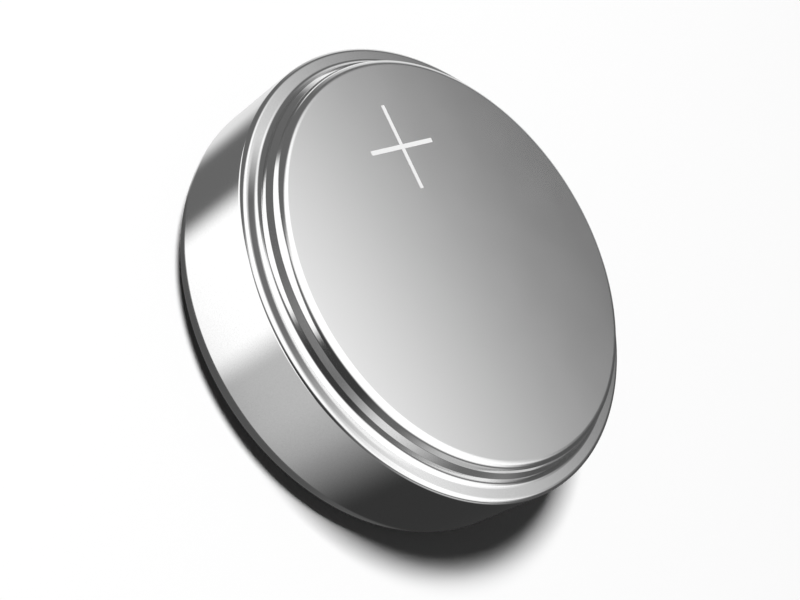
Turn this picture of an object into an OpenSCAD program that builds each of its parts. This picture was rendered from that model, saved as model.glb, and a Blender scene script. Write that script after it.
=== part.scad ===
// Lithium coin cell, lying on its negative cap with the positive face up.
// Millimetres, +Z up, origin at the centre of the negative face.
// The cell is a body of revolution: a stepped can, crimped over a sealing ring
// and a hemmed cap, with the electrodes stacked between the two.

/* [Cell] */
// Diameter over the can's straight wall
cell_d = 24.5; // [23.5:0.1:26]
// Height from the negative face to the positive face
cell_h = 7.7; // [7.2:0.1:9]

/* [Positive can] */
// Thickness of the can's drawn sheet
can_t = 0.25; // [0.2:0.01:0.3]
// Radius of the raised face's rounded edge
face_round = 0.4; // [0.3:0.05:0.5]
// Drop from the raised face to the steep bevel around it
bevel_drop = 0.55; // [0.5:0.01:0.65]
// Width of the bevel
bevel_w = 0.2; // [0.15:0.01:0.25]
// Height of the bevel
bevel_h = 0.3; // [0.2:0.01:0.35]
// Drop from the raised face to the shoulder
shoulder_drop = 1.25; // [1.1:0.05:1.5]
// Width of the shoulder, from the wall in to the top of the step
shoulder_w = 1.1; // [0.9:0.05:1.2]
// Radius in the corner where the step's side meets the shoulder
shoulder_fillet = 0.36; // [0.1:0.02:0.4]
// Radius of the shoulder's rounded edge
shoulder_round = 0.25; // [0.1:0.05:0.4]
// Outer radius of the crimp that rolls the wall's end over the sealing ring
crimp_round = 1.5; // [1.2:0.1:1.8]
// Width of the flat lip that ends the crimp
lip_w = 0.25; // [0.1:0.05:0.4]

/* [Negative cap] */
// Thickness of the cap's drawn sheet
cap_t = 0.25; // [0.2:0.01:0.3]
// How far the cap's face stands out past the can's lip
cap_proud = 0.2; // [0.1:0.05:0.4]
// Radius of the cap face's rounded edge
cap_round = 0.5; // [0.35:0.05:0.6]
// Radius in the corner where the cap's side meets its shoulder
cap_fillet = 0.15; // [0.05:0.05:0.2]
// Height of the hem, where the cap's skirt is folded back on itself
hem_h = 1.3; // [0.8:0.1:2]

/* [Sealing ring] */
// Thickness of the ring's walls
seal_t = 0.45; // [0.35:0.01:0.55]
// Width of the ring's foot that shows inside the can's lip
seal_show_w = 0.5; // [0.3:0.05:0.7]
// How far the ring's foot stays behind the can's lip
seal_recess = 0.05; // [0.02:0.01:0.15]
// Radius of the foot's rounded inner edge
seal_foot_round = 0.1; // [0.05:0.01:0.2]
// Height of the ring's inner leg below its web
seal_leg_h = 1; // [0.6:0.1:1.6]

/* [Electrodes] */
// Thickness of the lithium disc
anode_t = 2; // [1.6:0.05:2.4]
// Thickness of the separator's base
separator_t = 0.3; // [0.2:0.02:0.4]
// Thickness of the separator's upturned wall
separator_wall_t = 0.15; // [0.1:0.01:0.25]
// How far the separator's upturned wall is tucked up inside the ring's leg
separator_tuck = 0.8; // [0.2:0.1:1]
// Chamfer round the pellet's end that meets the separator
pellet_chamfer = 0.2; // [0.1:0.05:0.4]
// Thickness of the collector ring's sheet
collector_t = 0.2; // [0.15:0.01:0.3]
// Height of the collector ring
collector_h = 3; // [2:0.1:3.6]
// Width of the collector ring's flange between the pellet and the can
collector_flange_w = 1.1; // [0.6:0.1:2]

/* [Clearances] */
// Groove between the cap's side and the sealing ring's foot
groove_w = 0.4; // [0.2:0.05:0.6]
// Gap between the lithium disc's edge and the bend of the cap's face
anode_gap = 0.1; // [0.05:0.05:1]
// Assembly gap on each side of the separator's wall
wrap_gap = 0.05; // [0.02:0.01:0.1]

/* [Hidden] */
$fn = 96;

// How far a cutting block runs past the solid that it cuts
past = 1;

// Each sheet lies this far inside the can's outer surface, at its outer side
seal_inset = can_t;
cap_inset = seal_inset + seal_t;
skirt_inset = cap_inset + cap_t;
hem_inset = skirt_inset + cap_t;
leg_inset = hem_inset + seal_t;

// The can's outer steps, from the wall inwards and from the face down
cell_r = cell_d / 2;
step_r = cell_r - shoulder_w;
face_r = step_r - bevel_w;
bevel_z = cell_h - bevel_drop;
step_z = bevel_z - bevel_h;
shoulder_z = cell_h - shoulder_drop;

// How steep the bevel is, in degrees from level
bevel_slope = atan2(bevel_h, bevel_w);

// The crimp and its lip; the can, the sealing ring and the cap bend about one centre
lip_z = cap_proud;
crimp_x = cell_r - crimp_round;
crimp_z = lip_z + crimp_round;
lip_r = crimp_x - lip_w;

// The sealing ring's foot, and its web that seats the hem under the can's shoulder
foot_r = lip_r - seal_show_w;
foot_z = lip_z + seal_recess;
web_top = shoulder_z - can_t;
web_z = web_top - seal_t;

// The cap's side and shoulder
cap_r = foot_r - groove_w;
cap_shoulder_z = lip_z + cap_inset;

// The stack that fills the height between the cap's face and the can's face
separator_z = cap_t + anode_t;
pellet_z = separator_z + separator_t;
pellet_top = cell_h - can_t;
anode_r = cap_r - cap_round - anode_gap;
separator_r = cell_r - leg_inset - wrap_gap;
separator_top = web_z - seal_leg_h + separator_tuck;

// The collector ring stays inside the separator's wall and on the flat of the can's face
collector_r = min(separator_r - separator_wall_t - wrap_gap, face_r - face_round);
pellet_r = collector_r - collector_t;
flange_r = collector_r - collector_flange_w;

// Turns an outline about the cell's axis
module turned() {
    rotate_extrude()
        children();
}

// A ring's section, from r0 out to r1 and from z0 up to z1
module band_2d(r0, r1, z0, z1) {
    translate([r0, z0])
        square([r1 - r0, z1 - z0]);
}

// A block from the axis out to r and from z0 up to z1, with its upper edge rounded
module tier_2d(r, z0, z1, edge_round) {
    edge = max(edge_round, 0);
    band_2d(0, r, z0, z1 - edge);
    band_2d(0, r - edge, z0, z1);
    if (edge > 0)
        translate([r - edge, z1 - edge])
            circle(edge);
}

// A fillet in the corner at the origin, between faces that run along +X and +Y
module fillet_2d(r) {
    difference() {
        square(r);
        translate([r, r])
            circle(r);
    }
}

// The can's stepped head, as a filled section taken inwards by inset
module head_2d(inset) {
    bevel_shift = inset * tan((90 - bevel_slope) / 2);
    step_side = step_z - bevel_shift - shoulder_z + inset;
    tier_2d(face_r - inset, crimp_z, cell_h - inset, face_round - inset);
    tier_2d(cell_r - inset, crimp_z, shoulder_z - inset, shoulder_round - inset);
    polygon([[0, crimp_z],
             [step_r - inset, crimp_z],
             [step_r - inset, step_z - bevel_shift],
             [face_r - inset, bevel_z - bevel_shift],
             [0, bevel_z - bevel_shift]]);
    translate([step_r - inset, shoulder_z - inset])
        fillet_2d(min(shoulder_fillet + inset, step_side));
}

// What the crimp's bend closes over, as a filled section taken inwards by inset
module crimp_2d(inset) {
    bend = crimp_round - inset;
    band_2d(0, crimp_x, lip_z + inset, crimp_z);
    translate([crimp_x, crimp_z])
        intersection() {
            circle(bend);
            translate([0, -bend])
                square(bend);
        }
}

// What the cap's sheet closes over up to z1, as a filled section
module cap_2d(inset, z1) {
    side = cap_r - inset + cap_inset;
    face = inset - cap_inset;
    fill = cap_fillet + face;
    crimp_2d(inset);
    band_2d(0, cell_r - inset, crimp_z, z1);
    mirror([0, 1])
        tier_2d(side, -crimp_z, -face, cap_round - face);
    translate([side, lip_z + inset])
        mirror([0, 1])
            fillet_2d(fill);
}

// The can, one drawn sheet with a stepped face and a crimped lip
module positive_can() {
    color("silver")
        turned()
            difference() {
                union() {
                    head_2d(0);
                    crimp_2d(0);
                }
                head_2d(can_t);
                crimp_2d(can_t);
                band_2d(0, lip_r, lip_z - past, crimp_z);
            }
}

// The cap, one drawn sheet whose skirt ends in a flattened hem
module negative_cap() {
    fold_z = web_z - cap_t;
    color("gainsboro")
        turned()
            difference() {
                union() {
                    cap_2d(cap_inset, fold_z);
                    translate([cell_r - skirt_inset, fold_z])
                        circle(cap_t);
                }
                difference() {
                    cap_2d(skirt_inset, fold_z + past);
                    band_2d(cell_r - hem_inset, cell_r, web_z - hem_h, fold_z + past);
                }
            }
}

// The moulded ring that seals the cap into the can and keeps the two apart
module sealing_ring() {
    color("dimgray")
        turned() {
            difference() {
                union() {
                    crimp_2d(seal_inset);
                    tier_2d(cell_r - seal_inset, crimp_z, web_top, shoulder_round - seal_inset);
                }
                crimp_2d(cap_inset);
                band_2d(0, cell_r - cap_inset, crimp_z, web_z);
                band_2d(0, foot_r, lip_z, crimp_z);
                band_2d(0, cell_r - leg_inset, crimp_z, web_top + past);
            }
            band_2d(cell_r - leg_inset, cell_r - hem_inset, web_z - seal_leg_h, web_z);
            difference() {
                band_2d(foot_r, lip_r, foot_z, cap_shoulder_z);
                translate([foot_r, foot_z])
                    fillet_2d(seal_foot_round);
            }
        }
}

// The lithium disc, pressed onto the cap's inner face
module lithium_anode() {
    color("lightsteelblue")
        turned()
            band_2d(0, anode_r, cap_t, separator_z);
}

// The separator, a shallow cup that is tucked up between the pellet and the ring's leg
module separator() {
    color("white")
        turned() {
            band_2d(0, separator_r, separator_z, pellet_z);
            band_2d(separator_r - separator_wall_t, separator_r, pellet_z, separator_top);
        }
}

// The pressed pellet of the positive electrode, recessed for the collector's flange
module cathode_pellet() {
    color("black")
        turned()
            difference() {
                band_2d(0, pellet_r, pellet_z, pellet_top);
                band_2d(flange_r, pellet_r + past, pellet_top - collector_t, pellet_top + past);
                translate([pellet_r, pellet_z])
                    rotate(45)
                        square(pellet_chamfer * sqrt(2), center = true);
            }
}

// The flanged steel ring that joins the pellet to the can
module collector_ring() {
    color("slategray")
        turned() {
            band_2d(pellet_r, collector_r, pellet_top - collector_h, pellet_top);
            band_2d(flange_r, pellet_r, pellet_top - collector_t, pellet_top);
        }
}

positive_can();
sealing_ring();
negative_cap();
lithium_anode();
separator();
cathode_pellet();
collector_ring();
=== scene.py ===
# %% [markdown]
# # A lithium coin cell
# This notebook dresses one coin cell: a drawn steel can with a stepped rim, crimped over a
# plastic ring and a steel cap, with its electrodes stacked inside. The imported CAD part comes
# first, because every size below is read from it. Lengths are written in millimetres, as on
# a drawing, and turned into Blender's metres where a mesh is made.

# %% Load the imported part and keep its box
import math

import bmesh
import bpy
from mathutils import Matrix, Vector


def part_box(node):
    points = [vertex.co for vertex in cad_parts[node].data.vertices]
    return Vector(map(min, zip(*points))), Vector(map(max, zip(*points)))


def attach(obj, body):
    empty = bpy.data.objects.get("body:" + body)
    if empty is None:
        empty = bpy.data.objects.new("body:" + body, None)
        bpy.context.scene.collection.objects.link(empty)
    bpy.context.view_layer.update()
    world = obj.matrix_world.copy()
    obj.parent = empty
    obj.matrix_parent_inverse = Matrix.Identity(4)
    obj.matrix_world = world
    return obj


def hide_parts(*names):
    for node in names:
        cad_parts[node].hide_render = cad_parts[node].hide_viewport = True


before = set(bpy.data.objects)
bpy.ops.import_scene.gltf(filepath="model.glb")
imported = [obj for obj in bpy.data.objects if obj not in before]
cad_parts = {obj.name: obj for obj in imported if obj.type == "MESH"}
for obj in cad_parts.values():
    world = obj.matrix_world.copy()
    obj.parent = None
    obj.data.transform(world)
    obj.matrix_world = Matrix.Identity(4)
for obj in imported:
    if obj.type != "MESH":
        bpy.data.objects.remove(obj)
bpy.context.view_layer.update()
MM = 0.001


def box_mm(node):
    """A CAD node's outer radius, bottom and top, in millimetres."""
    low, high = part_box(node)
    return high.x / MM, low.z / MM, high.z / MM


cell_r, lip_z, face_z = box_mm("positive_can")
ring_r, foot_z, web_top = box_mm("sealing_ring")
skirt_r, cap_z, web_z = box_mm("negative_cap")
print(f"cell {2 * cell_r:.2f} mm across, {face_z:.2f} mm high")
print(f"ring up to {web_top:.2f} mm, cap up to {web_z:.2f} mm")

# %% [markdown]
# ## The camera
# The photograph looks down on the positive face from about 43 degrees, with the cell rolled
# in the frame. The place of the camera was found by matching the circles of the rim, so it
# is written here as it came out: where it stands, and which way are right and up.

# %% Place the camera
CAMERA_MM = Vector((0.290, -55.468, 53.598))
CAMERA_RIGHT = Vector((0.5135, 0.5815, 0.6310)).normalized()
CAMERA_UP = Vector((-0.8581, 0.3480, 0.3777)).normalized()
IMAGE_WIDTH = 800
FOCAL_PIXELS = 1461.5

lens = bpy.data.cameras.new("studio_camera")
lens.sensor_fit = "HORIZONTAL"
lens.sensor_width = 36
lens.lens = FOCAL_PIXELS * lens.sensor_width / IMAGE_WIDTH
lens.clip_start = 0.002
camera = bpy.data.objects.new("studio_camera", lens)
bpy.context.scene.collection.objects.link(camera)
back = CAMERA_RIGHT.cross(CAMERA_UP).normalized()
turn = Matrix((CAMERA_RIGHT, back.cross(CAMERA_RIGHT), back)).transposed()
camera.matrix_world = Matrix.Translation(CAMERA_MM * MM) @ turn.to_4x4()
bpy.context.scene.camera = camera
print(f"lens {lens.lens:.1f} mm, {CAMERA_MM.length:.1f} mm from the cell")

# %% [markdown]
# ## Small helpers for node trees
# Every finish here is a node tree written in Python. A few short helpers keep that readable.
# One adds a node and fills its inputs, one does arithmetic, one is a soft step from 0 to 1,
# the shape that almost every mask is made of, and one goes from one value to another as its
# mask goes from 0 to 1.

# %% Helpers for nodes


def add(tree, kind, *values, **settings):
    """Adds a node. Each value goes to the input in its place, and None leaves one alone."""
    node = tree.nodes.new(kind)
    for name, setting in settings.items():
        setattr(node, name, setting)
    for socket, value in zip(node.inputs, values):
        plug(tree, socket, value)
    return node


def plug(tree, socket, value):
    """Links a socket to an input, or writes a plain value on it."""
    if value is None:
        return
    if isinstance(value, bpy.types.NodeSocket):
        tree.links.new(value, socket)
    else:
        socket.default_value = value


def calc(tree, operation, *values):
    """One step of arithmetic in a shader tree."""
    return add(tree, "ShaderNodeMath", *values, operation=operation).outputs[0]


def step(tree, value, start, end):
    """Rises softly from 0 where value is start to 1 where it is end."""
    node = add(tree, "ShaderNodeMapRange", value, start, end, 0.0, 1.0,
               interpolation_type="SMOOTHSTEP")
    return node.outputs["Result"]


def blend(tree, mask, below, above):
    """Goes from one value to another as the mask goes from 0 to 1."""
    node = add(tree, "ShaderNodeMapRange", mask, 0.0, 1.0, below, above)
    return node.outputs["Result"]


# %% [markdown]
# ## The studio
# Polished steel has hardly a colour of its own: what we see on it is the room. So the room
# comes before the metal. A photographer lights such a cell with one wide softbox overhead
# and sets white and black cards around it, and each card becomes a band on the wall and the
# steps of the rim. Here the cards are painted on the world by direction, each with a middle,
# a width and soft edges in degrees, laid over each other in order.
#
# One card has a pointed top, like a gable. Each steep side in the rim turns that gable into
# a bright lens, and where its point nearly meets the softbox the dark line between the two
# closes.

# %% List the softboxes and cards
WALL_GREY = 0.155
WHITE = 1.30
# Each card: name, azimuth of its middle, half width, softness of its sides, lowest and
# highest edge, softness of these two, how far the top falls for each degree away from the
# middle, and brightness. A half width of 200 goes all the way round.
CARDS = [
    ("softbox above", 0, 200, 1, 43, 200, 9, 0, 1.36),
    ("softbox front", -45, 97, 18, 28, 60, 11, 0, WHITE),
    ("softbox right", -12, 42, 20, 13.5, 40, 9, 0, 1.28),
    ("flag behind left", 178, 34, 16, 10, 51, 9, 0, 0.155),
    ("panel right", -2, 22, 16, -29, -6, 8, 0, 0.62),
    ("flag behind right", 54, 28, 12, -90, 27, 9, 0, 0.10),
    ("flag front", -75, 22, 10, -90, 17, 9, 0, 0.05),
    ("low flag right", 20, 66, 8, -90, -40, 2, 0, 0.04),
    ("low panel front", -80, 42, 34, -90, -38, 4, 0, 0.60),
    ("gable card", -132, 62, 2, -40, 13, 4, 0.80, WHITE),
    ("card left", -138, 37, 9, -90, -39, 3, 0, WHITE),
    ("panel behind", 114, 24, 12, -90, 16, 10, 0, 0.84),
    ("strip behind left", 133, 17, 7, -37, -14, 5, 0, 1.10),
    ("dark below", 0, 200, 1, -90, -52, 3, 0, 0.10),
]
print(f"{len(CARDS)} cards on a wall of grey {WALL_GREY}")

# %% [markdown]
# In a world's tree, the Generated coordinate is the direction that a ray looks in. Turned
# into an azimuth and a height in degrees, it says where on the studio's walls the ray ends.
# Each card is then a product of soft steps, and the cards are laid over the grey wall one
# after the other, so a later card covers an earlier one.

# %% Paint the cards by direction
HALF_TURN = 180.0
NADIR, ZENITH = -90, 90


def paint_world(tree, axes):
    """Lays the cards over a grey room and returns the brightness in each direction."""
    azimuth = calc(tree, "DEGREES", calc(tree, "ARCTAN2", axes["Y"], axes["X"]))
    height = calc(tree, "DEGREES", calc(tree, "ARCSINE", axes["Z"]))
    light = WALL_GREY
    for name, middle, half, side_soft, lowest, highest, soft, fall, strength in CARDS:
        mask = 1.0
        level = height
        if half < HALF_TURN:
            turned = calc(tree, "SUBTRACT", azimuth, middle)
            away = calc(tree, "ABSOLUTE", calc(tree, "WRAP", turned, HALF_TURN, -HALF_TURN))
            mask = step(tree, away, half + side_soft, half - side_soft)
        if fall:
            level = calc(tree, "MULTIPLY_ADD", away, fall, height)
        if lowest > NADIR:
            above = step(tree, height, lowest - soft, lowest + soft)
            mask = calc(tree, "MULTIPLY", mask, above)
        if highest < ZENITH:
            under = step(tree, level, highest + soft, highest - soft)
            mask = calc(tree, "MULTIPLY", mask, under)
        light = blend(tree, mask, light, strength)
    return light


# %% [markdown]
# Matt things, the floor and the plastic, are lit by the same room, but what they need is
# only its average. So a ray that has bounced off something matt, even by way of the steel,
# sees one dim even grey. The rest of the light on matt things comes from the lamp, and so
# the shadow under the cell stays deep. A ray that goes straight down from something matt
# sees a brighter grey. The floor hides that while it is there, and a cell that is shown
# without the floor has light on the plastic ring underneath.

# %% Build the world
AMBIENT = 0.02
FROM_BELOW = 0.70
BELOW_FROM, BELOW_TO = -0.02, -0.10

world = bpy.data.worlds.new("studio_room")
world.use_nodes = True
tree = world.node_tree
tree.nodes.clear()
direction = add(tree, "ShaderNodeTexCoord").outputs["Generated"]
axes = add(tree, "ShaderNodeSeparateXYZ", direction).outputs
room = paint_world(tree, axes)
ray = add(tree, "ShaderNodeLightPath").outputs
downwards = step(tree, axes["Z"], BELOW_FROM, BELOW_TO)
from_matt = calc(tree, "MULTIPLY", ray["Is Diffuse Ray"], downwards)
average = blend(tree, from_matt, AMBIENT, FROM_BELOW)
after_matt = calc(tree, "MINIMUM", ray["Diffuse Depth"], 1.0)
strength = blend(tree, after_matt, room, average)
glow = add(tree, "ShaderNodeBackground", (1.0, 1.0, 1.0, 1.0), strength)
out = add(tree, "ShaderNodeOutputWorld", glow.outputs[0])
bpy.context.scene.world = world
print(f"world of {len(tree.nodes)} nodes")

# %% [markdown]
# ## The lamp and the floor
# One square lamp stands high over the cell's left side, so that the shadow falls to the
# lower right of the cell in the picture. It is small for its distance, which keeps the shadow
# dark close to the cell and soft further out. The floor is plain white card, a
# hundredth of a millimetre under the cell, so that the two surfaces never share a plane. The
# steel doesn't mirror it, because in a studio the cell stands on a small plinth and the cards
# come right up to it.

# %% Place the lamp
LAMP_AZIMUTH = math.radians(206)
LAMP_HEIGHT = math.radians(64)
LAMP_DISTANCE = 1.20
LAMP_SIZE = 0.28
# How bright the lamp makes a level white surface at the cell, where 1 is white
LAMP_SHARE = 1.03

lamp = bpy.data.lights.new("key_lamp", "AREA")
lamp.size = LAMP_SIZE
lamp.energy = LAMP_SHARE * math.pi ** 2 * LAMP_DISTANCE ** 2 / math.sin(LAMP_HEIGHT)
key = bpy.data.objects.new("key_lamp", lamp)
bpy.context.scene.collection.objects.link(key)
towards = Vector((math.cos(LAMP_HEIGHT) * math.cos(LAMP_AZIMUTH),
                  math.cos(LAMP_HEIGHT) * math.sin(LAMP_AZIMUTH),
                  math.sin(LAMP_HEIGHT)))
key.matrix_world = (Matrix.Translation(towards * LAMP_DISTANCE)
                    @ towards.to_track_quat("Z", "Y").to_matrix().to_4x4())
key.visible_glossy = False
print(f"lamp of {lamp.energy:.1f} W, {math.degrees(LAMP_HEIGHT):.0f} degrees up")

# %% [markdown]
# The floor is laid from four corners. The small function that makes a mesh from points in
# millimetres is used again for the sections and for the mark on the face.

# %% Lay the floor


def plain_mesh(name, points, faces, edges=()):
    """A mesh object from points in millimetres, linked to the scene."""
    mesh = bpy.data.meshes.new(name)
    mesh.from_pydata([Vector(p) * MM for p in points], edges, faces)
    thing = bpy.data.objects.new(name, mesh)
    bpy.context.scene.collection.objects.link(thing)
    return thing


FLOOR_HALF = 1500
FLOOR_Z = -0.01
signs = [(-1, -1), (1, -1), (1, 1), (-1, 1)]
corners = [(x * FLOOR_HALF, y * FLOOR_HALF, FLOOR_Z) for x, y in signs]
floor = plain_mesh("studio_floor", corners, [(0, 1, 2, 3)])
floor.visible_glossy = False
print(f"floor {2 * FLOOR_HALF * MM:.0f} m wide")

# %% [markdown]
# ## Materials
# Each finish starts from the same small beginning: a Principled shader and the object's own
# coordinates, with a way to work out the radius from the axis. Everything on a turned piece
# can be placed by radius, height and angle, so no piece needs a UV map.

# %% Start a material


class Finish:
    """A material's tree with its shader and the coordinates that its masks use."""

    def __init__(self, name, color, metallic, roughness):
        self.material = bpy.data.materials.new(name)
        self.material.use_nodes = True
        self.tree = self.material.node_tree
        self.tree.nodes.clear()
        self.shader = add(self.tree, "ShaderNodeBsdfPrincipled")
        add(self.tree, "ShaderNodeOutputMaterial", self.shader.outputs[0])
        self.material.diffuse_color = (*color, 1.0)
        self.set("Base Color", (*color, 1.0))
        self.set("Metallic", metallic)
        self.set("Roughness", roughness)
        self.place = add(self.tree, "ShaderNodeTexCoord").outputs["Object"]
        axes = add(self.tree, "ShaderNodeSeparateXYZ", self.place).outputs
        self.x, self.y, self.z = axes[0], axes[1], axes[2]

    def set(self, name, value):
        """Sets or links one input of the shader."""
        plug(self.tree, self.shader.inputs[name], value)

    def radius(self):
        """Distance from the cell's axis, in metres."""
        across = calc(self.tree, "MULTIPLY", self.x, self.x)
        along = calc(self.tree, "MULTIPLY", self.y, self.y)
        return calc(self.tree, "SQRT", calc(self.tree, "ADD", across, along))

    def noise(self, size_mm, detail=2.0, where=None):
        """Soft noise whose lumps are about size_mm across."""
        node = add(self.tree, "ShaderNodeTexNoise")
        plug(self.tree, node.inputs["Vector"], where or self.place)
        plug(self.tree, node.inputs["Scale"], 1 / (size_mm * MM))
        plug(self.tree, node.inputs["Detail"], detail)
        return node.outputs["Fac"]

    def bump(self, height, depth_mm, below=None):
        """Raises the surface by depth_mm where height is 1, over an earlier bump."""
        node = add(self.tree, "ShaderNodeBump")
        node.inputs["Strength"].default_value = 1.0
        node.inputs["Distance"].default_value = depth_mm * MM
        plug(self.tree, node.inputs["Height"], height)
        plug(self.tree, node.inputs["Normal"], below)
        return node.outputs["Normal"]


# %% [markdown]
# The floor is the plainest of them: white card with a faint tooth. It has no shine at all,
# so that it stays an even white from every side.

# %% Finish the floor
CARD_TOOTH = 0.8
CARD_DEPTH = 0.004

card = Finish("white_card", (0.95, 0.95, 0.95), 0.0, 0.9)
card.set("Specular IOR Level", 0.0)
card.set("Normal", card.bump(card.noise(CARD_TOOTH), CARD_DEPTH))
floor.data.materials.append(card.material)
print(f"{floor.name}: {card.material.name}")

# %% [markdown]
# ## The can and its sizes
# The can is one cup of 0.25 mm sheet, drawn open end down. From the raised face the section
# drops to a steep bevel, goes on down a slanting side, and meets the flat shoulder in a soft
# hollow. Then it runs down the straight wall and rolls in at the crimp that holds the cell
# shut. The two steep sides lean back a little, as drawn sheet does when it leaves the tool,
# and that lean decides what they mirror: an upright side would mirror the shoulder in front
# of it, and a leaning one looks over the shoulder's edge at the room.

# %% Sizes of the can
SHEET = 0.25
SHEET_EDGE = 0.03
FACE_ROUND = 0.40
FACE_LEAN = math.radians(14)
BEVEL_DROP, BEVEL_W, BEVEL_H = 0.55, 0.20, 0.30
BEVEL_FILLET = 0.10
STEP_ROUND = 0.05
STEP_LEAN = math.radians(19)
SHOULDER_DROP, SHOULDER_W = 1.25, 1.05
SHOULDER_FILLET, SHOULDER_ROUND = 0.30, 0.25
CRIMP_R, LIP_W = 1.5, 0.25
UPRIGHT = math.radians(90)

step_r = cell_r - SHOULDER_W
bevel_r = step_r - BEVEL_W
bevel_z = face_z - BEVEL_DROP
step_z = bevel_z - BEVEL_H
shoulder_z = face_z - SHOULDER_DROP
face_r = bevel_r - BEVEL_DROP * math.tan(FACE_LEAN)
step_foot_r = step_r + (step_z - shoulder_z) * math.tan(STEP_LEAN)
lip_r = cell_r - CRIMP_R - LIP_W
bevel_slope = math.atan2(BEVEL_H, BEVEL_W)
print(f"bevel {math.degrees(bevel_slope):.0f} degrees steep, {step_r:.2f} mm at its foot")

# %% [markdown]
# ## Bright nickel
# The can is pressed from nickel-plated steel strip. Two finishes meet on it. The flat face
# keeps the satin of the strip, a grain too fine to follow that spreads every highlight. The
# rim and the wall have been burnished by the drawing tool, so they mirror the room more
# sharply, with faint lines along the way the metal was drawn. One mask by height tells the
# two apart, and roughness carries nearly all of the difference. A slow noise moves the
# roughness a little, as handling does, and a fine one specks the grey.
#
# On the shoulder lies a dull grey arc. It is a painted reflection: a dark grey put into the
# metal's colour where the steps above would be mirrored dark. It fades out towards both ends
# and drifts outwards on its way round. So the radius is corrected for the angle first, and
# then each of its edges is one soft step: two by angle, two by radius, and one by height,
# which keeps it off the wall.

# %% Mask the arc of painted reflection
# Each edge of the arc: where the mask begins and where it is full, in degrees or millimetres
ARC_EDGES_BY_ANGLE = [(-146.0, -126.0), (-45.0, -98.0)]
ARC_EDGES_BY_RADIUS = [(11.52, 11.66), (12.06, 11.90)]
ARC_MIDDLE = -110.0
# How far the arc moves outwards in each degree
ARC_DRIFT = 0.004


def painted_reflection_arc(finish):
    """A mask for the arc of painted reflection on the shoulder, soft towards its ends and the
    wall.
    """
    tree = finish.tree
    angle = calc(tree, "DEGREES", calc(tree, "ARCTAN2", finish.y, finish.x))
    onwards = calc(tree, "SUBTRACT", angle, ARC_MIDDLE)
    radius = calc(tree, "MULTIPLY_ADD", onwards, -ARC_DRIFT * MM, finish.radius())
    arc = step(tree, finish.z, (shoulder_z - 0.10) * MM, (shoulder_z - 0.05) * MM)
    for start, full in ARC_EDGES_BY_ANGLE:
        arc = calc(tree, "MULTIPLY", arc, step(tree, angle, start, full))
    for start, full in ARC_EDGES_BY_RADIUS:
        arc = calc(tree, "MULTIPLY", arc, step(tree, radius, start * MM, full * MM))
    return arc


# %% Make the can's finish
NICKEL_GREY = 0.74, 0.86
# Grey of the painted reflection arc on the shoulder
PAINTED_REFLECTION_GREY = 0.13
SATIN = 0.15, 0.19
POLISH = 0.085, 0.115
NICKEL_DEPTH = 0.00025
# How far below the face's plane the satin ends
FACE_EDGE = 0.03


def bright_nickel():
    finish = Finish("bright_nickel", (0.80, 0.80, 0.80), 1.0, 0.1)
    tree = finish.tree
    speck = blend(tree, finish.noise(0.07, 2.0), *NICKEL_GREY)
    # The arc darkens the colour here: a painted reflection of the dark steps above it
    grey = blend(tree, painted_reflection_arc(finish), speck, PAINTED_REFLECTION_GREY)
    finish.set("Base Color", add(tree, "ShaderNodeCombineColor", grey, grey, grey).outputs[0])
    on_face = step(tree, finish.z, (face_z - FACE_EDGE) * MM, (face_z - FACE_EDGE / 4) * MM)
    cloud = finish.noise(2.5, 3.0)
    satin = blend(tree, cloud, *SATIN)
    polish = blend(tree, cloud, *POLISH)
    finish.set("Roughness", blend(tree, on_face, polish, satin))
    grain = calc(tree, "MULTIPLY", finish.noise(0.05, 3.0), blend(tree, on_face, 0.25, 1.0))
    drawn = add(tree, "ShaderNodeMapping", finish.place, (0, 0, 0), (0, 0, 0), (1, 1, 0.06))
    lines = calc(tree, "MULTIPLY", finish.noise(0.12, 3.0, drawn.outputs[0]), 0.5)
    finish.set("Normal", finish.bump(calc(tree, "ADD", grain, lines), NICKEL_DEPTH))
    return finish.material


nickel = bright_nickel()
print(f"can finish with {len(nickel.node_tree.nodes)} nodes")

# %% [markdown]
# ## Turning a section
# The can, the ring and the cap are bodies of revolution, so each is drawn once, as half a
# section, and turned. A section is a list of corners: distance from the axis, height, and
# the radius that the corner is rounded to. Real sheet has no sharp corners, and the small
# radii catch the thin bright lines that make a rim look like metal.
#
# Where a flat runs into a bend, one more point is set on the flat close to the bend. Without
# it, smooth shading would let the bend's tilt creep across the whole flat.

# %% Round a section's corners
# How far from a bend the extra point is set
GUARD = 0.012
# How much one facet of a bend turns
BEND_STEP = math.radians(6)
LEAST_STEPS = 5


def round_corners(corners, closed):
    """Points along a section given as (radius, height, rounding) corners, in millimetres."""
    outline = []
    for i, (r, z, rounding) in enumerate(corners):
        here = Vector((r, z))
        if rounding == 0:
            outline.append(here)
            continue
        before = (Vector(corners[i - 1][:2]) - here).normalized()
        after = (Vector(corners[(i + 1) % len(corners)][:2]) - here).normalized()
        half = before.angle(after) / 2
        reach = rounding / math.tan(half)
        centre = here + (before + after).normalized() * rounding / math.sin(half)
        start = here + before * reach - centre
        bend = start.angle_signed(here + after * reach - centre)
        detail = min(1, 0.6 + rounding)
        count = max(LEAST_STEPS, round(abs(bend) / BEND_STEP * detail))
        outline.append(here + before * (reach + GUARD))
        for k in range(count + 1):
            spoke = start.copy()
            spoke.rotate(Matrix.Rotation(-bend * k / count, 2))
            outline.append(centre + spoke)
        outline.append(here + after * (reach + GUARD))
    if closed:
        outline.append(outline[0])
    return outline


# %% [markdown]
# The turning itself is a rule, so it is left to Geometry Nodes. A grid is made with one row
# of points for each step round and one column for each point of the section. Each point of
# the grid then looks up its section point by number and is moved to that distance and
# height, at its own angle. The last row falls on the first, and the points on the axis fall
# together, so a merge closes the seam and the poles.

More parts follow.
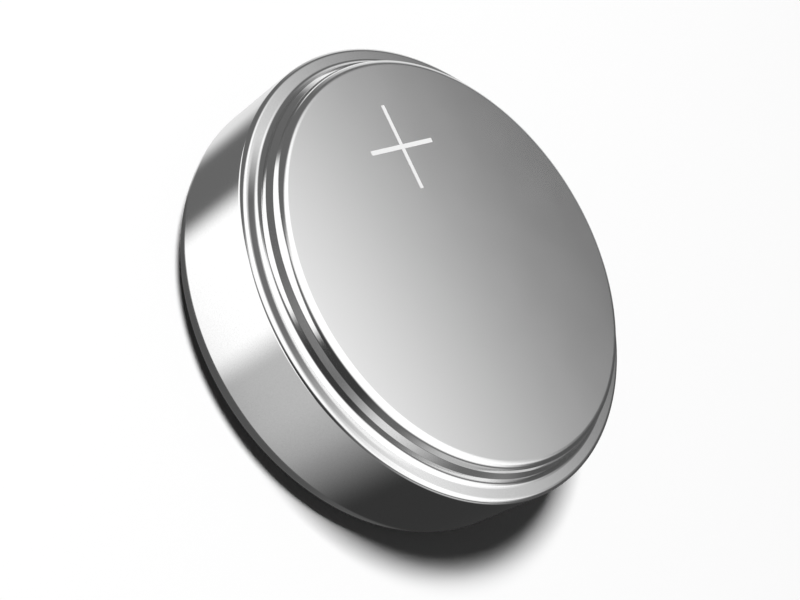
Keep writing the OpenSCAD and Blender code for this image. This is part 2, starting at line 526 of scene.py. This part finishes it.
# %% Build the lathe
LATHE_SOCKETS = [
    ("Geometry", "INPUT", "Geometry"),
    ("Steps Round", "INPUT", "Int"),
    ("Merge Distance", "INPUT", "Float"),
    ("Finish", "INPUT", "Material"),
    ("Geometry", "OUTPUT", "Geometry"),
]


def lathe_tree():
    """A node group that turns an outline in the XZ plane about Z."""
    tree = bpy.data.node_groups.new("turn_on_lathe", "GeometryNodeTree")
    for name, way, kind in LATHE_SOCKETS:
        tree.interface.new_socket(name, in_out=way, socket_type="NodeSocket" + kind)
    given = tree.nodes.new("NodeGroupInput").outputs
    section, rounds = given["Geometry"], given["Steps Round"]
    size = add(tree, "GeometryNodeAttributeDomainSize", section).outputs["Point Count"]
    rows = calc(tree, "ADD", rounds, 1.0)
    grid = add(tree, "GeometryNodeMeshGrid", 1.0, 1.0, rows, size).outputs["Mesh"]
    index = add(tree, "GeometryNodeInputIndex").outputs[0]
    row = calc(tree, "FLOOR", calc(tree, "DIVIDE", index, size))
    column = calc(tree, "SUBTRACT", index, calc(tree, "MULTIPLY", row, size))
    angle = calc(tree, "MULTIPLY", calc(tree, "DIVIDE", row, rounds), math.tau)
    position = add(tree, "GeometryNodeInputPosition").outputs[0]
    look_up = add(tree, "GeometryNodeSampleIndex", data_type="FLOAT_VECTOR")
    plug(tree, look_up.inputs["Geometry"], section)
    plug(tree, look_up.inputs["Value"], position)
    plug(tree, look_up.inputs["Index"], column)
    found = add(tree, "ShaderNodeSeparateXYZ", look_up.outputs["Value"]).outputs
    x = calc(tree, "MULTIPLY", found["X"], calc(tree, "COSINE", angle))
    y = calc(tree, "MULTIPLY", found["X"], calc(tree, "SINE", angle))
    place = add(tree, "ShaderNodeCombineXYZ", x, y, found["Z"]).outputs[0]
    turned = add(tree, "GeometryNodeSetPosition", grid, None, place).outputs[0]
    closed = add(tree, "GeometryNodeMergeByDistance", turned)
    plug(tree, closed.inputs["Distance"], given["Merge Distance"])
    smooth = add(tree, "GeometryNodeSetShadeSmooth", closed.outputs[0]).outputs[0]
    real = add(tree, "GeometryNodeRealizeInstances", smooth).outputs[0]
    painted = add(tree, "GeometryNodeSetMaterial", real)
    plug(tree, painted.inputs["Material"], given["Finish"])
    add(tree, "NodeGroupOutput", painted.outputs[0])
    return tree


lathe = lathe_tree()
print(f"lathe of {len(lathe.nodes)} nodes")

# %% [markdown]
# Each turned piece goes through the same four steps: draw the section as a line of edges,
# hang the lathe on it as a modifier, take the evaluated mesh, and keep that as a plain mesh
# object. The count of open edges that is printed has to be 0, and the volume shows at a
# glance whether a wall is as thick as it should be.

# %% Turn a section into a piece
STEPS_ROUND = 288
MERGE_MM = 0.0005


def turn_piece(name, corners, closed, material):
    """Draws a section, turns it on the lathe and returns the finished mesh object."""
    outline = round_corners(corners, closed)
    points = [(p.x, 0, p.y) for p in outline]
    edges = [(i, i + 1) for i in range(len(points) - 1)]
    section = plain_mesh(name + "_section", points, [], edges)
    modifier = section.modifiers.new("lathe", "NODES")
    modifier.node_group = lathe
    wanted = {"Steps Round": STEPS_ROUND, "Merge Distance": MERGE_MM * MM, "Finish": material}
    for item in lathe.interface.items_tree:
        if item.in_out == "INPUT" and item.name in wanted:
            modifier[item.identifier] = wanted[item.name]
    return keep_result(section, name)


def keep_result(thing, name):
    """Replaces an object with live modifiers by a plain mesh object, faces outwards."""
    bpy.context.view_layer.update()
    graph = bpy.context.evaluated_depsgraph_get()
    mesh = bpy.data.meshes.new_from_object(thing.evaluated_get(graph))
    bpy.data.objects.remove(thing)
    shape = bmesh.new()
    shape.from_mesh(mesh)
    bmesh.ops.recalc_face_normals(shape, faces=shape.faces)
    if shape.calc_volume(signed=True) < 0:
        bmesh.ops.reverse_faces(shape, faces=shape.faces)
    open_edges = sum(not edge.is_manifold for edge in shape.edges)
    volume = shape.calc_volume() / MM ** 3
    shape.to_mesh(mesh)
    shape.free()
    piece = bpy.data.objects.new(name, mesh)
    mesh.name = name
    bpy.context.scene.collection.objects.link(piece)
    print(f"{name}: {len(mesh.polygons)} faces, {open_edges} open edges, {volume:.1f} mm3")
    return piece


# %% [markdown]
# ## Turning the can
# The inside follows the outside at one sheet's thickness, so an outer bend of radius R has
# an inner bend of R less the sheet, and a hollow has R and the sheet.

# %% Follow the sheet to its inside


def inside(r, z, slope_above, slope_below):
    """Where a corner of two slopes lies on the sheet's inner side."""
    shift = SHEET / math.cos((slope_above - slope_below) / 2)
    middle = (slope_above + slope_below) / 2
    return r - shift * math.sin(middle), z - shift * math.cos(middle)


face_slope = UPRIGHT - FACE_LEAN
step_slope = UPRIGHT - STEP_LEAN
print(f"sides {math.degrees(face_slope):.0f} and {math.degrees(step_slope):.0f} degrees steep")

# %% [markdown]
# The section starts on the axis at the face, runs down the outside to the lip, and comes
# back along the inside. The can is open below, where the ring and the cap go in.

# %% Turn the can
can = turn_piece("nickel_can", [
    (0, face_z, 0),
    (face_r, face_z, FACE_ROUND),
    (bevel_r, bevel_z, BEVEL_FILLET),
    (step_r, step_z, STEP_ROUND),
    (step_foot_r, shoulder_z, SHOULDER_FILLET),
    (cell_r, shoulder_z, SHOULDER_ROUND),
    (cell_r, lip_z, CRIMP_R),
    (lip_r, lip_z, SHEET_EDGE),
    (lip_r, lip_z + SHEET, SHEET_EDGE),
    (cell_r - SHEET, lip_z + SHEET, CRIMP_R - SHEET),
    (cell_r - SHEET, shoulder_z - SHEET, SHEET_EDGE),
    (*inside(step_foot_r, shoulder_z, step_slope, 0), SHOULDER_FILLET + SHEET),
    (*inside(step_r, step_z, bevel_slope, step_slope), SHEET_EDGE),
    (*inside(bevel_r, bevel_z, face_slope, bevel_slope), BEVEL_FILLET + SHEET),
    (*inside(face_r, face_z, 0, face_slope), FACE_ROUND - SHEET),
    (0, face_z - SHEET, 0),
], False, nickel)
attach(can, "root")
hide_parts("positive_can")

# %% [markdown]
# ## The plus sign
# One mark stays on the face: the plus that says which pole this is. On the real cell it is
# etched, so it is matt and nearly white where the steel around it is satin. It is a thin
# plate with its own finish, a few thousandths of a millimetre proud, like an etched film.

# %% Finish the mark


def etched_white():
    finish = Finish("etched_white", (0.84, 0.84, 0.84), 0.0, 0.6)
    tree = finish.tree
    frost = finish.noise(0.04, 4.0)
    finish.set("Roughness", blend(tree, frost, 0.5, 0.7))
    finish.set("Normal", finish.bump(frost, 0.002))
    return finish.material


# %% [markdown]
# The plus is an outline with twelve corners, three for each quarter turn, and the same
# rounding as a section's. Its plate starts a little below the face, so that no gap can show,
# and ends a little above it, so that the two surfaces never share a plane.

# %% Cut the plus
MARK_AT = Vector((-6.145, 0.210))
MARK_TURN = math.radians(-8)
MARK_HALF = 2.30
MARK_BAR = 0.12
MARK_PROUD = 0.006
MARK_SUNK = 0.020
MARK_ROUND = 0.04


def plus_outline():
    """The plus as a closed outline of rounded corners, turned and set in its place."""
    arm = [(MARK_HALF, -MARK_BAR, MARK_ROUND), (MARK_HALF, MARK_BAR, MARK_ROUND),
           (MARK_BAR, MARK_BAR, MARK_ROUND / 2)]
    corners = []
    for quarter in range(4):
        spin = Matrix.Rotation(math.radians(90) * quarter, 2)
        corners += [(*(spin @ Vector((x, y))), rounding) for x, y, rounding in arm]
    return [MARK_AT + Matrix.Rotation(MARK_TURN, 2) @ p for p in round_corners(corners, False)]


def raised_plate(name, outline, bottom, top, material):
    """A flat plate of that outline between two heights."""
    count = len(outline)
    points = [(p.x, p.y, bottom) for p in outline] + [(p.x, p.y, top) for p in outline]
    sides = [(i, (i + 1) % count, count + (i + 1) % count, count + i) for i in range(count)]
    ends = [tuple(range(count)), tuple(range(count, 2 * count))]
    plate = plain_mesh(name + "_plate", points, ends + sides)
    plate.data.materials.append(material)
    return keep_result(plate, name)


plus = raised_plate("plus_mark", plus_outline(), face_z - MARK_SUNK, face_z + MARK_PROUD,
                    etched_white())
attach(plus, "root")

# %% [markdown]
# ## The sealing ring
# A moulded ring of polypropylene keeps the can and the cap apart and is squeezed tight by
# the crimp. Only its foot shows, as a narrow grey circle inside the lip underneath. It is a
# waxy plastic: softly shiny, with the fine wave that moulding leaves.

# %% Finish and turn the ring
SEAL_T = 0.45
SEAL_LEG = 1.0
SEAL_SHOW = 0.5
FOOT_ROUND = 0.10
CAP_INSET = SHEET + SEAL_T

foot_r = lip_r - SEAL_SHOW
shelf_z = lip_z + CAP_INSET
hem_r = skirt_r - 2 * SHEET


def waxy_plastic():
    finish = Finish("waxy_polypropylene", (0.62, 0.63, 0.62), 0.0, 0.45)
    tree = finish.tree
    wave = finish.noise(0.9, 2.0)
    skin = finish.noise(0.07, 3.0)
    finish.set("Roughness", blend(tree, wave, 0.36, 0.5))
    low = finish.bump(wave, 0.006)
    finish.set("Normal", finish.bump(skin, 0.0008, low))
    return finish.material


ring = turn_piece("sealing_moulding", [
    (foot_r, foot_z, FOOT_ROUND),
    (lip_r, foot_z, SHEET_EDGE),
    (lip_r, lip_z + SHEET, SHEET_EDGE),
    (ring_r, lip_z + SHEET, CRIMP_R - SHEET),
    (ring_r, web_top, SHEET_EDGE),
    (hem_r - SEAL_T, web_top, SHEET_EDGE),
    (hem_r - SEAL_T, web_z - SEAL_LEG, SHEET_EDGE),
    (hem_r, web_z - SEAL_LEG, SHEET_EDGE),
    (hem_r, web_z, SHEET_EDGE),
    (skirt_r, web_z, SHEET_EDGE),
    (skirt_r, shelf_z, CRIMP_R - CAP_INSET),
    (foot_r, shelf_z, SHEET_EDGE),
], True, waxy_plastic())
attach(ring, "root")
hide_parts("sealing_ring")

# %% [markdown]
# ## The negative cap
# The cap is the other pole, a shallow drawn dish whose skirt is folded back on itself so
# that the crimp has something stiff to close on. Its face is the underside of the cell. It
# has the satin of tumbled steel, rougher than the can, with short faint scratches from the
# other caps that it was barrelled with. Each set of scratches is a noise that is turned and
# then stretched forty times along one way, so only its highest peaks show, as thin dashes.

# %% Finish and turn the cap
GROOVE = 0.4
HEM_H = 1.3
CAP_ROUND = 0.50
CAP_FILLET = 0.15
# The fold is a half circle of the sheet's own radius, and a hair less keeps its flat
FOLD_ROUND = SHEET * 0.98
CAP_ROUGH = 0.30, 0.36

cap_r = foot_r - GROOVE


def tumbled_steel():
    finish = Finish("tumbled_steel", (0.72, 0.72, 0.73), 1.0, 0.28)
    tree = finish.tree
    cloud = finish.noise(1.8, 3.0)
    grain = finish.noise(0.14, 1.0)
    scratch = None
    for turn_by in (0.4, 1.5, 2.7):
        slope = add(tree, "ShaderNodeMapping", finish.place, (0, 0, 0), (0, 0, turn_by),
                    (1, 40, 1), vector_type="TEXTURE")
        line = step(tree, finish.noise(0.06, 0.0, slope.outputs[0]), 0.72, 0.80)
        scratch = line if scratch is None else calc(tree, "MAXIMUM", scratch, line)
    rough = blend(tree, cloud, *CAP_ROUGH)
    finish.set("Roughness", calc(tree, "ADD", rough, calc(tree, "MULTIPLY", scratch, 0.08)))
    height = calc(tree, "SUBTRACT", grain, calc(tree, "MULTIPLY", scratch, 0.15))
    finish.set("Normal", finish.bump(height, 0.0005))
    return finish.material


cap = turn_piece("cap_dish", [
    (0, cap_z, 0),
    (cap_r, cap_z, CAP_ROUND),
    (cap_r, shelf_z, CAP_FILLET),
    (skirt_r, shelf_z, CRIMP_R - CAP_INSET),
    (skirt_r, web_z, FOLD_ROUND),
    (hem_r, web_z, FOLD_ROUND),
    (hem_r, web_z - HEM_H, SHEET_EDGE),
    (skirt_r - SHEET, web_z - HEM_H, SHEET_EDGE),
    (skirt_r - SHEET, shelf_z + SHEET, CRIMP_R - CAP_INSET - SHEET),
    (cap_r - SHEET, shelf_z + SHEET, CAP_FILLET + SHEET),
    (cap_r - SHEET, cap_z + SHEET, CAP_ROUND - SHEET),
    (0, cap_z + SHEET, 0),
], False, tumbled_steel())
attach(cap, "root")
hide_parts("negative_cap")

# %% [markdown]
# ## What is inside
# The four inner pieces can't be seen while the cell is shut, but a cut or an exploded view
# shows them, so each keeps its CAD shape and gets the finish of its material.
#
# Lithium is cut from a rolled strip, soft enough to mark with a nail. It is a dull silver:
# long faint lines from the rolls, under a bloom that changes how far it shines.

# %% Finish the lithium


def soft_lithium():
    finish = Finish("soft_lithium", (0.66, 0.67, 0.70), 1.0, 0.45)
    tree = finish.tree
    bloom = finish.noise(3.0, 4.0)
    rolled = add(tree, "ShaderNodeMapping", finish.place, (0, 0, 0), (0, 0, 0), (1, 0.04, 1))
    lines = finish.noise(0.15, 3.0, rolled.outputs[0])
    finish.set("Roughness", blend(tree, bloom, 0.34, 0.58))
    finish.set("Normal", finish.bump(lines, 0.002, finish.bump(bloom, 0.01)))
    return finish.material


# %% [markdown]
# The separator is a felt of fine plastic fibres. Three noises, each turned and stretched
# eight times along one way, lie over each other like strands, and the highest one wins.

# %% Finish the separator


def white_felt():
    finish = Finish("white_felt", (0.90, 0.90, 0.88), 0.0, 0.85)
    tree = finish.tree
    fibre = None
    for turn_by in (0.2, 1.2, 2.3):
        lay = add(tree, "ShaderNodeMapping", finish.place, (0, 0, 0), (turn_by, 0.3, turn_by),
                  (1, 8, 1), vector_type="TEXTURE")
        strand = finish.noise(0.06, 2.0, lay.outputs[0])
        fibre = strand if fibre is None else calc(tree, "MAXIMUM", fibre, strand)
    finish.set("Roughness", blend(tree, fibre, 0.95, 0.75))
    finish.set("Normal", finish.bump(fibre, 0.02))
    return finish.material


# %% [markdown]
# The pellet is black powder pressed in a die. It is matt, with a fine grain that the bump
# raises and a slow wave that the die leaves.

# %% Finish the pellet


def pressed_powder():
    finish = Finish("pressed_powder", (0.05, 0.05, 0.055), 0.0, 0.8)
    tree = finish.tree
    grains = finish.noise(0.08, 5.0)
    press = finish.noise(1.6, 2.0)
    finish.set("Roughness", blend(tree, grains, 0.62, 0.9))
    finish.set("Normal", finish.bump(grains, 0.012, finish.bump(press, 0.008)))
    return finish.material


# %% [markdown]
# The collector ring is plain strip steel. Fine lines run along the strip, and they move the
# roughness and the height together.

# %% Finish the collector


def strip_steel():
    finish = Finish("strip_steel", (0.60, 0.60, 0.61), 1.0, 0.3)
    tree = finish.tree
    rolled = add(tree, "ShaderNodeMapping", finish.place, (0, 0, 0), (0, 0, 0), (0.05, 1, 1))
    lines = finish.noise(0.06, 3.0, rolled.outputs[0])
    finish.set("Roughness", blend(tree, lines, 0.24, 0.38))
    finish.set("Normal", finish.bump(lines, 0.0008))
    return finish.material


# %% [markdown]
# These four nodes are carried over from the CAD part, so nothing is modelled here. Each of
# their material slots gets the finish.

# %% Dress the inner pieces
INNER = {
    "lithium_anode": soft_lithium(),
    "separator": white_felt(),
    "cathode_pellet": pressed_powder(),
    "collector_ring": strip_steel(),
}
for node, material in INNER.items():
    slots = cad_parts[node].material_slots
    for slot in slots:
        slot.material = material
    print(f"{node}: {material.name} in {len(slots)} slot")

# %% [markdown]
# ## Show it plainly
# The view transform is set to Standard, so that a grey written above comes out as that grey.

# %% Finish
bpy.context.scene.view_settings.view_transform = "Standard"
